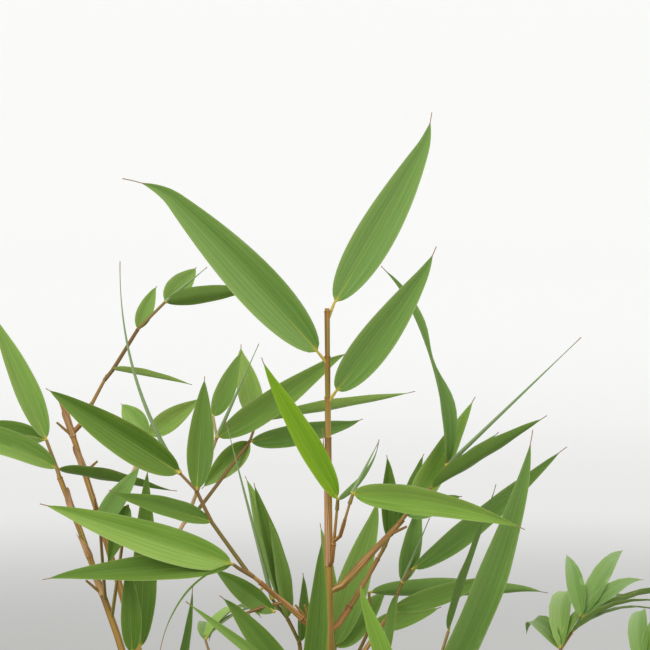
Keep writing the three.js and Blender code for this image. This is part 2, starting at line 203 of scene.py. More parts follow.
class Paint:
    """One material, with a Principled shader to feed."""

    def __init__(self, name, **constants):
        self.material = bpy.data.materials.new(name)
        self.material.use_nodes = True
        self.tree = self.material.node_tree
        self.shader = self.tree.nodes["Principled BSDF"]
        for socket, number in constants.items():
            self.shader.inputs[socket.replace("_", " ")].default_value = number

    def add(self, kind, inputs=None, output=0, **settings):
        """Adds a node of a kind. Its settings come first, because they decide its sockets."""
        node = self.tree.nodes.new("ShaderNode" + kind)
        for setting, choice in settings.items():
            setattr(node, setting, choice)
        for socket, given in (inputs or {}).items():
            self.feed(node.inputs[socket], given)
        return Value(self, node.outputs[output])

    def feed(self, socket, given):
        """Links a Value to a socket, or sets the socket to a constant."""
        if isinstance(given, Value):
            self.tree.links.new(given.socket, socket)
        else:
            socket.default_value = given

    def axes(self, vector):
        """A vector's three numbers."""
        first = self.add("SeparateXYZ", {0: vector})
        return [Value(self, out) for out in first.socket.node.outputs]

    def vector(self, *numbers):
        return self.add("CombineXYZ", dict(enumerate(numbers)))

    def place(self):
        return self.add("TexCoord", output="Object")

    def map(self, name):
        return self.add("UVMap", uv_map=name)

    def reading(self, name):
        """A number stored with the mesh's own points."""
        return self.add("Attribute", output="Fac", attribute_name=name)

    def noise(self, where, scale, detail=2.0, roughness=0.5):
        inputs = {"Vector": where, "Scale": scale, "Detail": detail, "Roughness": roughness}
        return self.add("TexNoise", inputs)

    def blend(self, share, first, second):
        """first where share is 0 and second where it is 1; both are colours."""
        return self.add("Mix", {0: share, 6: first, 7: second}, output=2, data_type="RGBA")

    def finish(self, colour, roughness, height=None, depth=0.0005):
        """Feeds the shader. height is a relief of the given depth in metres."""
        self.feed(self.shader.inputs["Base Color"], colour)
        self.feed(self.shader.inputs["Roughness"], roughness)
        if height is not None:
            bump = {"Height": height, "Distance": depth}
            self.feed(self.shader.inputs["Normal"], self.add("Bump", bump))
        return self.material


def rgb(red, green, blue):
    """A colour from 0 to 255 a channel, as paint charts give it, turned into light."""
    lit = [c / 255 / 12.92 if c < 10 else ((c / 255 + 0.055) / 1.055) ** 2.4 for c in (red, green, blue)]
    return (*lit, 1)


def dimmed(colour, red, green=None, blue=None):
    """A colour with each channel multiplied, all by the first number if it is the only one."""
    shares = (red, green or red, blue or red)
    return (*(c * share for c, share in zip(colour, shares)), 1)


print("mid grey is", round(rgb(128, 128, 128)[0], 3), "of white")

# %% [markdown]
# ## Reading the limbs off the frame
# The canes' and branches' places could be typed in again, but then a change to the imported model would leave
# the grown plant behind. So they are read off it. A limb's solid is a thin tapering prism. Cutting it with
# level planes gives a small ring of points each time. The middle of a ring is a point on the limb's line,
# and half the ring's smallest width is its radius. A swelling in the radius is a node.

# %% Limb reader
CUT_PITCH = 1.5 * MM
END_TRIM = 2.5 * MM
END_SHARE = 0.12


def level_cut(co, edges, z):
    """The middle and the radius of a limb at a height."""
    a, b = co[edges[:, 0]], co[edges[:, 1]]
    crossing = (a[:, 2] - z) * (b[:, 2] - z) < 0
    a, b = a[crossing], b[crossing]
    t = ((z - a[:, 2]) / (b[:, 2] - a[:, 2]))[:, None]
    ring = a + (b - a) * t
    low, high = ring.min(0), ring.max(0)
    return (low + high) / 2, float((high - low)[:2].min() / 2)


def read_limb(name):
    """A limb's points from foot to tip, with the radius at each."""
    mesh = nodes[name].data
    co = places(mesh)
    edges = np.array([e.vertices[:] for e in mesh.edges])
    low, high = co[:, 2].min(), co[:, 2].max()
    ends = min(END_TRIM, (high - low) * END_SHARE)
    heights = np.linspace(low + ends, high - ends, max(6, int((high - low) / CUT_PITCH)))
    cuts = [level_cut(co, edges, z) for z in heights]
    line = np.array([point for point, _ in cuts])
    radii = np.array([radius for _, radius in cuts])
    reach = ends / (heights[1] - heights[0])
    first = line[0] + (line[0] - line[1]) * reach
    last = line[-1] + (line[-1] - line[-2]) * reach
    return np.vstack([first, line, last]), np.concatenate([radii[:1], radii, radii[-1:]])


limbs = {name: read_limb(name) for name in nodes if name.startswith(("cane", "branch"))}
for name in ("cane_leader", "branch_right"):
    line, radii = limbs[name]
    print(name, len(line), "points, radius", round(radii[1] / MM, 2), "to", round(radii[-2] / MM, 2), "mm")

# %% [markdown]
# ## Reading the leaves off the frame
# Every lobe of a spray's solid is a four-sided blade with a sharp tip. The tip is a corner where exactly
# four edges meet in a narrow point. The four corners next to it are one cross-section of the lobe, and
# the next four are another. A lobe's spine is a simple curve, so the two middles and the tip are enough to
# follow it back to the leaf's foot inside the twig. A leaf that stands alone is pointed at its foot as
# well, but its first cross-section is much nearer there, and that tells the two ends apart. Four lobes are
# left out, which keeps the plant open where they would stand.

# %% Leaf reader
STATIONS = (0.42, 0.78)
OUTER_WIDTH = 0.6
POINTED = 0.9
FOOT_FIRST = 0.45
LEFT_OUT = {"foliage_back_left_tip": (0, 2, 3), "foliage_right_back_tip": (0,)}


def section(ring):
    """The middle, width direction and thickness direction of four corners of a lobe."""
    pairs = [(ring[i], ring[j]) for i in range(4) for j in range(i + 1, 4)]
    middle = sum(ring) / 4
    opposite = sorted(pairs, key=lambda p: np.linalg.norm((p[0] + p[1]) / 2 - middle))[:2]
    wide, thin = sorted((q - p for p, q in opposite), key=np.linalg.norm, reverse=True)
    return middle, wide, thin


def read_lobes(name):
    """Each lobe of a spray as its foot, its tip, its bend, its width and the way it faces."""
    mesh = bmesh.new()
    mesh.from_mesh(nodes[name].data)
    bmesh.ops.remove_doubles(mesh, verts=mesh.verts, dist=WELD)
    lobes = []
    a, b = STATIONS
    for tip in mesh.verts:
        near = [e.other_vert(tip) for e in tip.link_edges]
        if len(near) != 4:
            continue
        ways = [(v.co - tip.co).normalized() for v in near]
        if sum(ways, Vector()).length / 4 < POINTED:
            continue
        past = {e.other_vert(v) for v in near for e in v.link_edges} - set(near) - {tip}
        end = np.array(tip.co)
        middle, wide, thin = section([np.array(v.co) for v in near])
        width = np.linalg.norm(wide) / OUTER_WIDTH
        foot = end + (middle - end) / (1 - b)
        if len(past) == 4:
            second, wide, thin = section([np.array(v.co) for v in past])
            if np.linalg.norm(end - middle) < FOOT_FIRST * np.linalg.norm(middle - second):
                continue
            width = np.linalg.norm(wide)
            foot = (
                end * (a * b) / ((1 - a) * (1 - b))
                - middle * a / ((1 - b) * (b - a))
                + second * b / ((1 - a) * (b - a))
            )
        length = np.linalg.norm(end - foot)
        bend = (middle - foot - (end - foot) * b) / (4 * (b - b * b))
        facing = unit(thin)
        if facing @ np.array([0, -0.6, 1.0]) < 0:
            facing = -facing
        lobes.append(
            {"foot": foot, "end": end, "bend": bend, "width": width, "length": length, "facing": facing}
        )
    mesh.free()
    return sorted(lobes, key=lambda lobe: -lobe["length"])


sprays = {name: read_lobes(name) for name in sorted(nodes) if name.startswith(("leaf", "spray", "foliage"))}
for name, out in LEFT_OUT.items():
    sprays[name] = [lobe for k, lobe in enumerate(sprays[name]) if k not in out]
for name, lobes in sprays.items():
    print(name, [(round(l["length"] / MM), round(l["width"] / MM, 1)) for l in lobes])

# %% [markdown]
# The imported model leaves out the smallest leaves. Three of them stand on the left cane, each on a twig of
# its own, so there is nothing to read them off. Their feet, tips and widths are given here in millimetres,
# and they join the others as sprays of one leaf.

# %% Small leaves
def straight_leaf(foot, end, width, toward, bow=0.0):
    """A leaf from foot to end whose upper side faces toward as nearly as it can."""
    length = np.linalg.norm(end - foot)
    along = (end - foot) / length
    facing = unit(toward - along * (along @ toward))
    return {
        "foot": foot, "end": end, "bend": facing * length * bow, "width": width, "length": length,
        "facing": facing,
    }


SMALL_LEAVES = {
    "small_low": ((-78.6, -15, 421.4), (-81, -15, 457), 9),
    "small_middle": ((-80.3, -15, 481.9), (-88.5, -15, 458.5), 8),
    "small_high": ((-91.8, -15, 473.7), (-75.7, -15, 497.5), 9),
}
for name, (foot, end, width) in SMALL_LEAVES.items():
    toward = np.array([0.2, -0.8, 0.5])
    sprays[name] = [straight_leaf(np.array(foot) * MM, np.array(end) * MM, width * MM, toward, bow=0.04)]
print(len(SMALL_LEAVES), "small leaves,", sum(map(len, sprays.values())), "lobes in all")

# %% [markdown]
# ## One way to make every round and flat thing
# Canes, twigs, leaves and the pot are all a grid rolled up. Its columns go round and its rows go along, and
# the grid brings a clean rectangle of UV with it, which follows the grain of the cane or the leaf. Rolling
# it brings the first and last columns together, and these are merged so that the skin has no seam. A row
# with no radius comes together as a point and closes the end.

# %% Rolled grids
def rolled(name, sides, rows, shape):
    """Rolls a grid. shape(turn, row) gives the places of the points, from 0 to 1 round and 0 up by rows."""
    grid = begin(
        bpy.ops.mesh.primitive_grid_add, name, x_subdivisions=sides, y_subdivisions=rows - 1, size=1
    )
    flat = places(grid.data)
    turn = np.round((flat[:, 0] + 0.5) * sides) / sides
    row = np.round((flat[:, 1] + 0.5) * (rows - 1)).astype(int)
    set_places(grid.data, shape(turn, row))
    grid.data.uv_layers[0].name = "OFBake"
    return grid, row


def sealed(piece):
    """Merges what a rolled grid brought together, and turns every face outward."""
    alone(piece)
    bpy.ops.object.mode_set(mode="EDIT")
    bpy.ops.mesh.select_all(action="SELECT")
    bpy.ops.mesh.remove_doubles(threshold=WELD)
    bpy.ops.mesh.normals_make_consistent(inside=False)
    bpy.ops.object.mode_set(mode="OBJECT")
    return piece


def smooth(piece, degrees):
    """Shades a piece smooth, except across edges sharper than an angle."""
    alone(piece)
    bpy.ops.object.shade_smooth_by_angle(angle=math.radians(degrees), keep_sharp_edges=False)
    return piece


def frames_along(path):
    """At each point of a path, the way it goes and two directions square to it that don't spin."""
    along = np.gradient(path, axis=0)
    along /= np.linalg.norm(along, axis=1)[:, None]
    side = np.cross(along[0], (0.3, -1.0, 0.2))
    sides = []
    for way in along:
        side = unit(side - way * (side @ way))
        sides.append(side)
    sides = np.array(sides)
    return along, sides, np.cross(along, sides)


def lengths_along(path):
    """How far along a path each of its points is."""
    return np.concatenate([[0], np.cumsum(np.linalg.norm(np.diff(path, axis=0), axis=1))])


def moved_to(path, arc, stations):
    """The path's points at other distances along it."""
    return np.stack([np.interp(stations, arc, path[:, k]) for k in range(3)], axis=1)

# %% [markdown]
# ## Canes, branches and twigs
# A bamboo shoot is a stack of tubes. Each length between two nodes is wrapped in a sheath that widens
# upward and ends in a small collar, and the next length comes out of it thinner. Separate tubes slipped
# into one another would leave hidden ends, so the whole rod is one skin. Its rings crowd at the nodes: a lip
# just below, a step in just above, and long plain stretches between. Each point keeps how far up its own
# length it is, which the colours use. The ring places round a node are in millimetres from it.

# %% Noded rods
COLLAR = (-2.4, -1.0, -0.45, -0.1, 0.1, 0.5, 1.2, 2.4)
PLAIN = 5 * MM
NODE_CLEAR = 2.8 * MM
RING_GAP = 0.02 * MM
PAST_END = 30 * MM
LIP = 0.5 * MM


def stations_for(length, nodes_at):
    """Distances along a rod, in metres, with rings crowding at its nodes."""
    plain = np.linspace(0, length, max(4, int(length / PLAIN)))
    crowd = np.array([n + step * MM for n in nodes_at for step in COLLAR])
    far = [s for s in plain if not len(nodes_at) or np.abs(np.array(nodes_at) - s).min() > NODE_CLEAR]
    every = np.concatenate([far, crowd[(crowd > 0) & (crowd < length)], [0, length]])
    every = np.unique(np.round(every, 7))
    return every[np.append(np.diff(every) > RING_GAP, True)]


def noded(stations, nodes_at, length, flare):
    """How far up its own length each ring is, and how much wider or thinner that makes it."""
    marks = np.array([-PAST_END, *nodes_at, length + PAST_END])
    low = np.searchsorted(marks, stations, side="right") - 1
    low = np.clip(low, 0, len(marks) - 2)
    share = (stations - marks[low]) / (marks[low + 1] - marks[low])
    lip = np.exp(-(((marks[low + 1] - stations) / LIP) ** 2))
    return share, 1 + flare * (share - 0.6) + flare * 1.1 * lip


def keep(piece, share, tone):
    """Stores two numbers with a piece's points: how far up its own length each is, and the piece's tone."""
    for label, kept in (("share", share), ("tone", np.full(len(share), tone))):
        piece.data.attributes.new(label, "FLOAT", "POINT").data.foreach_set("value", kept)


def rod(name, path, radii, nodes_at=(), sides=12, flare=0.16, tone=0.5):
    """A noded rod along a path. tone is kept with it, so that rods of one piece differ in colour."""
    arc = lengths_along(path)
    stations = stations_for(arc[-1], nodes_at)
    line = moved_to(path, arc, stations)
    share, wider = noded(stations, nodes_at, arc[-1], flare)
    radius = np.interp(stations, arc, radii) * wider
    _, side, other = frames_along(line)
    order = np.concatenate([[0], np.arange(len(line)), [len(line) - 1]])
    size = radius[order]
    size[0] = size[-1] = 0

    def shape(turn, row):
        angle = turn * 2 * math.pi
        at = order[row]
        round_it = side[at] * np.cos(angle)[:, None] + other[at] * np.sin(angle)[:, None]
        return line[at] + round_it * size[row][:, None]

    piece, row = rolled(name, sides, len(order), shape)
    keep(piece, share[order][row], tone)
    return sealed(piece)


def strips(pieces, columns, margin=0.02):
    """Gives each piece its own strip of the UV square, so that nothing overlaps when they are joined."""
    rows = math.ceil(len(pieces) / columns)
    for k, piece in enumerate(pieces):
        uv = piece.data.uv_layers["OFBake"].data
        flat = np.empty(len(uv) * 2)
        uv.foreach_get("uv", flat)
        flat = flat.reshape(-1, 2)
        corner = np.array([k % columns, k // columns])
        spaced = corner + margin + flat * (1 - 2 * margin)
        uv.foreach_set("uv", (spaced / (columns, rows)).ravel())

# %% [markdown]
# The swellings that stand out from a cane's straight taper are its nodes. A side branch has none in the
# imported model, so it gets one about every three centimetres, a little unevenly. Toward the tip of a cane
# they come closer together, at distances that are given in millimetres back from it.

# %% Canes
rng = random.Random(11)
TIP_NODES = (54, 37, 20, 1.2)
TIP_CLEAR = 9 * MM
FOOT_CLEAR = 8 * MM
SWOLLEN = 1.08
REACH = 7


def taper_and_nodes(line, radii):
    """A cane's smooth taper, and the distances of its nodes along it."""
    arc = lengths_along(line)
    around = [np.median(radii[max(0, k - REACH) : k + REACH + 1]) for k in range(len(radii))]
    swollen = (radii > np.array(around) * SWOLLEN) & (arc > FOOT_CLEAR)
    fit = np.polyval(np.polyfit(arc[~swollen], radii[~swollen], 1), arc)
    runs, found = [], []
    for a, is_node in zip(arc, swollen):
        if is_node:
            runs.append(a)
        elif runs:
            found.append(sum(runs) / len(runs))
            runs = []
    return fit, found


growth = {}
for name, (line, radii) in limbs.items():
    if name.startswith("cane"):
        taper, nodes_at = taper_and_nodes(line, radii)
        length = lengths_along(line)[-1]
        tip_nodes = [length - back * MM for back in TIP_NODES]
        nodes_at = [n for n in nodes_at if n < tip_nodes[0] - TIP_CLEAR] + tip_nodes
        growth[name] = {"line": line, "radii": taper, "nodes": nodes_at}

canes = []
for name, g in growth.items():
    canes.append(rod(name + "_grown", g["line"], g["radii"], g["nodes"], sides=16, tone=rng.uniform(0, 0.8)))
    print(name, "nodes at", [round(n / MM) for n in g["nodes"]], "mm")
strips(canes, len(canes))
canes = smooth(joined(canes, "canes"), 50)
print("canes:", len(canes.data.polygons), "faces")

# %% [markdown]
# Every branch grows out of a cane or another branch, so its line is led back to the nearest point of
# another limb's line. It thins out to the twig that carries on from it. One branch is still wholly inside
# its first sheath, a long plain cone that shows no nodes.

# %% Branches
def nearest_on_limb(point, but=None):
    """The nearest point of any limb's line, and that limb's name."""
    best = None
    for name, (line, _) in limbs.items():
        if name == but:
            continue
        gaps = np.linalg.norm(line - point, axis=1)
        k = int(gaps.argmin())
        if best is None or gaps[k] < best[0]:
            best = (gaps[k], line[k], name)
    return best


def uneven_nodes(length, pitch, rng):
    """Distances of nodes along a branch, about a pitch apart."""
    at, out = pitch / 2, []
    while at < length - 4 * MM:
        out.append(at)
        at += pitch * rng.uniform(0.75, 1.25)
    return out


SHEATHED = "branch_right"
SHEATHED_SIZE = ([0, 0.12, 0.5, 1], [0.8, 0.95, 0.95, 0.9])
THICKEST = ([0, 0.6, 1], [1.7 * MM, 1.2 * MM, 0.85 * MM])
NODE_PITCH = 30 * MM
FAR = 70 * MM
branches = []
for name, (line, radii) in limbs.items():
    if name.startswith("cane"):
        continue
    gap, root, parent = nearest_on_limb(line[0], but=name)
    path = np.vstack([root, line])
    arc = lengths_along(path)
    size = np.concatenate([radii[:1], radii])
    if name == SHEATHED:
        size = size * np.interp(arc / arc[-1], *SHEATHED_SIZE)
        nodes_at = []
    else:
        size = np.minimum(size, np.interp(arc / arc[-1], *THICKEST))
        nodes_at = uneven_nodes(arc[-1], NODE_PITCH, rng)
    growth[name] = {"line": path, "radii": size, "nodes": nodes_at}
    # A branch at the back gets tone 1, which the paint turns into painted haze; the rest get a random tone.
    tone = 1.0 if path[-1][1] > FAR else rng.uniform(0, 0.8)
    branches.append(rod(name + "_grown", path, size, nodes_at, sides=12, tone=tone))
    print(name, "grows from", parent, "gap", round(gap / MM, 1), "mm")
strips(branches, len(branches))
branches = smooth(joined(branches, "branches"), 50)

# %% [markdown]
# ## Sheaths
# Every length of a young cane starts out wrapped in a papery sheath. As it dries it splits down one side
# and its tip stands off as a torn tongue. A flat sheet could be bent round the cane with a modifier, but the
# cane itself is curved. So the sheet's points are wrapped round the cane's own line from a node upward, ever
# less of the way round, and a Solidify modifier then gives it a little thickness.

# %% Sheaths
SHEATH_WALL = 0.14 * MM
SHEATH_STAND_OFF = 0.16 * MM


def sheath(name, limb, start, length, side, lift, tone, wrap=0.97):
    """A tongue of dry sheath on a limb, from start along it, centred on a way round it in degrees."""
    g = growth[limb]
    arc = lengths_along(g["line"])
    sheet = begin(bpy.ops.mesh.primitive_grid_add, name, x_subdivisions=10, y_subdivisions=14, size=1)
    flat = places(sheet.data)
    turn, up = flat[:, 0], flat[:, 1] + 0.5
    at = start + up * length
    line = moved_to(g["line"], arc, at)
    radius = np.interp(at, arc, g["radii"]) * 1.06 + SHEATH_STAND_OFF + lift * up**4
    out = np.array([math.cos(math.radians(side)), math.sin(math.radians(side)), 0])
    way = unit(g["line"][-1] - g["line"][0])
    first = unit(out - way * (out @ way))
    second = np.cross(way, first)
    angle = turn * 2 * math.pi * (wrap * (1 - up**1.8) + 0.02)
    round_it = first * np.cos(angle)[:, None] + second * np.sin(angle)[:, None]
    set_places(sheet.data, line + round_it * radius[:, None])
    sheet.data.uv_layers[0].name = "OFBake"
    keep(sheet, up * 0.9, tone)
    return sealed(modified(sheet, "SOLIDIFY", thickness=SHEATH_WALL, offset=1))


top = lengths_along(growth["cane_leader"]["line"])[-1]
sheaths = [sheath("sheath_leader", "cane_leader", top - 108 * MM, 58 * MM, 190, 0.7 * MM, 0.3, wrap=0.5)]
rng = random.Random(23)
for name, g in growth.items():
    if not name.startswith("cane"):
        continue
    ends = [*g["nodes"], lengths_along(g["line"])[-1]]
    for k, (a, b) in enumerate(zip(ends, ends[1:])):
        hidden = name == "cane_leader" and b > top - 110 * MM
        if rng.random() < 0.75 and not hidden:
            reach = min(b - a, 36 * MM) * rng.uniform(0.6, 0.95)
            side = rng.uniform(0, 360)
            lift, tone, wrap = rng.uniform(0.3, 1.6) * MM, rng.random(), rng.uniform(0.5, 0.97)
            sheaths.append(sheath(f"sheath_{name}_{k}", name, a, reach, side, lift, tone, wrap))
strips(sheaths, 10)
print(len(sheaths), "sheaths")
sheaths = smooth(joined(sheaths, "sheaths"), 40)

# %% [markdown]
# Where a side shoot has died back, a short dry stub is left on its node. Stubs are the same rods as the
# branches, only short and without nodes. Two pairs have their own places, at the open end of the sheathed
# branch and at the foot of the left one, and the rest are dealt out over the canes.

# %% Stubs
STUB_RADII = (0.7 * MM, 0.65 * MM, 0.5 * MM)
LOOSE_STUBS = 22


def stub(name, limb, at, way, length):
    """A short dry stick on a limb, at a distance along it."""
    line = growth[limb]["line"]
    root = moved_to(line, lengths_along(line), np.array([at]))[0]
    path = np.array([root + unit(np.array(way)) * length * s for s in (0, 0.5, 1)])
    return rod(name, path, STUB_RADII, sides=8, tone=0.8)


end = lengths_along(growth[SHEATHED]["line"])[-1]
stubs = [
    stub("strand_a", SHEATHED, end - 4 * MM, (0.55, -0.3, 0.75), 8 * MM),
    stub("strand_b", SHEATHED, end - 9 * MM, (0.8, -0.3, 0.42), 9 * MM),
    stub("stub_a", "branch_left", 6 * MM, (-0.62, -0.15, 0.77), 15 * MM),
    stub("stub_b", "branch_left", 9 * MM, (-0.30, -0.35, 0.90), 11 * MM),
]
for k in range(LOOSE_STUBS):
    name = rng.choice([n for n in growth if n.startswith("cane") and n != "cane_leader"])
    bearing = rng.uniform(0, 2 * math.pi)
    way = (math.cos(bearing) * 0.8, math.sin(bearing) * 0.8, 0.7)
    node = rng.choice(growth[name]["nodes"][:3])
    stubs.append(stub(f"stub_{k}", name, node, way, rng.uniform(5, 11) * MM))
strips(stubs, 8)
print(len(stubs), "stubs")
stubs = smooth(joined(stubs, "stubs"), 50)

# %% [markdown]
# ## Twigs
# Each spray of leaves stands on a twig, and a big lone leaf on a yellow stalk. A spray's solid has a thin
# core from its foot to its last leaf. The corner nearest to any limb is at the core's foot. From there the
# twig runs through the leaves' feet in order of distance, with a node at each. Its root is set a little
# lower on the limb than the nearest point, because twigs lean outward and up.

# %% Twigs
LEAN_OUT = 1.3
CORE_WIDTH = 3.2 * MM
NEAR = 1.2 * MM
LONE_TWIG, SPRAY_TWIG = 0.85 * MM, 0.95 * MM
TWIG_TAPER = 0.72
TWIG_PITCH = 2 * MM
NOTABLE_GAP = 6 * MM


def twig_foot(name):
    """The foot of a spray's core: the middle of its corners nearest to a limb."""
    if name in SMALL_LEAVES:
        return sprays[name][0]["foot"]
    corners = places(nodes[name].data)
    gaps = [nearest_on_limb(c)[0] for c in corners]
    nearest = corners[int(np.argmin(gaps))]
    close = corners[np.linalg.norm(corners - nearest, axis=1) < CORE_WIDTH]
    return close.mean(0)


def twig_tone(name, root):
    """A twig's colour: yellow for a big lone leaf's stalk, painted paler as haze at the back of the plant."""
    tone = rng.uniform(0, 0.8)
    if name.startswith("leaf"):
        return 2.0
    # Spray twigs at the back get a tone that the paint turns into painted haze.
    return 0.97 if root[1] > FAR and name.startswith("spray") else tone


twigs = []
for name, lobes in sprays.items():
    foot = twig_foot(name)
    gap, root, parent = nearest_on_limb(foot)
    root = nearest_on_limb(root - np.array([0, 0, LEAN_OUT * gap]))[1]
    feet = sorted((lobe["foot"] for lobe in lobes), key=lambda p: np.linalg.norm(p - foot))
    path = [root]
    for p in [foot, *feet]:
        if np.linalg.norm(p - path[-1]) > NEAR:
            path.append(p)
    path = np.array(path)
    arc = lengths_along(path)
    thick = LONE_TWIG if len(lobes) == 1 else SPRAY_TWIG
    radii = np.interp(arc / arc[-1], [0, 1], [thick, thick * TWIG_TAPER])
    nodes_at = list(arc[2:-1])
    fine = np.linspace(0, arc[-1], max(8, int(arc[-1] / TWIG_PITCH)))
    line, size = moved_to(path, arc, fine), np.interp(fine, arc, radii)
    twigs.append(rod(name + "_twig", line, size, nodes_at, sides=8, tone=twig_tone(name, path[0])))
    if gap > NOTABLE_GAP:
        print(name, "from", parent, "gap", round(gap / MM, 1), "mm")
strips(twigs, 12)
twigs = smooth(joined(twigs, "twigs"), 50)
print("twigs:", len(twigs.data.polygons), "faces")

# %% [markdown]
# ## Leaves
# A bamboo leaf is narrow, broadest near its foot, and drawn out to a thread at the tip, and it stands on a
# stalk only two or three millimetres long. A flat sheet with a picture of a leaf cut out of it would look
# thin and jagged from near by, so every leaf is a real blade. It is a flattened tube, like the rods: half
# the columns are its upper side and half its underside, and the margins are where they meet. Leaves in the
# front get a fine blank, and those in the masses of foliage a plain one with few faces. The stalk and the
# thread end at these shares of the leaf's length.

# %% Leaf blanks
STALK = 0.014
THREAD = 1.035
END_STRIP = 0.004


def outline(t):
    """Half a leaf's width along it, as a share of its greatest half width."""
    s = np.clip((t - STALK) / (1 - STALK), 0, 1)
    return np.sin(math.pi * s**0.66) ** 0.8


def blank(name, sides, rows):
    """A leaf blank, with where each of its points lies round and along. Rows crowd at the foot and tip."""
    even = np.linspace(0, 1, rows - 4)
    along = 0.35 * even + 0.65 * (0.5 - 0.5 * np.cos(math.pi * even))
    along = np.concatenate([[0, 0], along[1:], [1 + (THREAD - 1) * 0.5, THREAD, THREAD]])
    piece, row = rolled(name, sides, rows, lambda turn, row: np.stack([turn, along[row], 0 * turn], axis=1))
    uv = piece.data.uv_layers["OFBake"].data
    loops = np.empty(len(piece.data.loops), dtype=int)
    piece.data.loops.foreach_get("vertex_index", loops)
    co = places(piece.data)
    flat = np.stack([co[loops, 0], 0.01 + 0.98 * co[loops, 1] / THREAD], axis=1)
    rise = row[loops]
    flat[rise == 0, 1] -= END_STRIP
    flat[rise == rows - 1, 1] += END_STRIP
    uv.foreach_set("uv", flat.ravel())
    return {"piece": piece, "turn": co[:, 0], "along": co[:, 1], "row": row, "rows": rows}


fine_blank = blank("leaf_blank", 12, 34)
plain_blank = blank("small_leaf_blank", 6, 13)
for made in (fine_blank, plain_blank):
    print(made["piece"].name, len(made["piece"].data.polygons), "faces")

# %% [markdown]
# Each leaf is a copy of a blank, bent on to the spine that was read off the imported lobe, with its own fold,
# twist and waves. A curve modifier could bend it as well, but it can't fold the blade into a V or wave only
# the margins, so the points are placed by a formula. x runs from one margin to the other over both sides.
# The last leaf of a shoot is still rolled up into a spear.

# %% Bending a leaf
STALK_RADIUS = 0.55 * MM
THREAD_RADIUS = 0.2 * MM
HALF_THICK = 0.16 * MM
HOOK_FROM = 0.86
DROOP_FROM = 0.55
PINCH_AT, PINCH_SPREAD = 0.52, 0.15
WAVES = 19


def bent(
    blank, leaf, name, rng, fold=0.35, twist=0.0, wave=0.03, droop=0.0, hook=0.0, pinch=0.0, thread=1.0,
    thin=1.0, spear=False,
):
    """One leaf: a copy of a blank, bent on to a leaf's spine.

    fold opens or closes its V and twist turns it along its length. droop lets its outer half hang, hook
    turns its tip aside, and pinch rolls its middle in on itself. thread stretches the thread at its tip,
    and thin makes the blade narrower or wider.
    """
    copy = twin(blank["piece"], name)
    t, turn = blank["along"], blank["turn"]
    t = np.where(t > 1, 1 + (t - 1) * thread, t)
    foot, end, bend = leaf["foot"], leaf["end"], leaf["bend"]
    length = leaf["length"]
    sag = np.array([0, 0, -1.0]) * droop * length
    aside = unit(np.cross(leaf["facing"], end - foot)) * hook * length

    def spine(t):
        t = t[:, None]
        tip = np.clip(t - HOOK_FROM, 0, 1) ** 1.7 - (1 - HOOK_FROM) ** 1.7 * t * t
        outer = sag * np.clip(t - DROOP_FROM, 0, 1) ** 2 + aside * tip
        return foot + (end - foot) * t + bend * 4 * (t - t * t) + outer

    centre = spine(t)
    along = spine(t + 0.01) - spine(t - 0.01)
    along /= np.linalg.norm(along, axis=1)[:, None]
    facing = leaf["facing"] - along * (along @ leaf["facing"])[:, None]
    facing /= np.linalg.norm(facing, axis=1)[:, None]
    across = np.cross(facing, along)
    edge_on = pinch * np.exp(-(((t - PINCH_AT) / PINCH_SPREAD) ** 2))
    roll = twist * (t - 0.4) + edge_on * 0.5
    across, facing = (
        across * np.cos(roll)[:, None] + facing * np.sin(roll)[:, None],
        facing * np.cos(roll)[:, None] - across * np.sin(roll)[:, None],
    )
    upper = turn <= 0.5
    x = np.where(upper, 1 - 4 * turn, 4 * turn - 3)
    wide = leaf["width"] / 2 * outline(t) * thin * (1 - edge_on)
    if spear:
        wide = leaf["width"] * 0.4 * (1 - t).clip(0) ** 0.8
    half = np.maximum(wide, np.where(t < 0.5, STALK_RADIUS, THREAD_RADIUS))
    half = np.where((blank["row"] == 0) | (blank["row"] == blank["rows"] - 1), 0, half)
    bulk = np.where(t < STALK * 2, STALK_RADIUS, HALF_THICK)
    bulk = np.minimum(bulk, half * 0.9) if not spear else half * 0.9
    lens = np.sqrt(np.clip(1 - x * x, 0, 1)) * bulk * np.where(upper, 1, -1)
    valley = fold * np.abs(x) * wide
    ripple = wave * wide * np.sin(t * WAVES + rng.uniform(0, 6) + x * 1.3) * x * x
    rise = lens + valley * np.cos(fold * 0.6) + ripple
    run = half * x * math.cos(fold * 0.7)
    set_places(copy.data, centre + across * run[:, None] + facing * rise[:, None])
    return copy

# %% [markdown]
# Bamboo leaves of one plant differ in green: deep where they are old, lime when newly opened, greyish on
# the underside and on a rolled spear. The deep tint also serves as painted shade on leaves that lie in
# shadow, and the pale tint is painted haze on leaves at the back. One paint with a tint for every leaf would
# blur together when the leaves are joined, so a few plain tints are dealt out, spray by spray and longest
# leaf first, and the leaves of a tint become one piece.

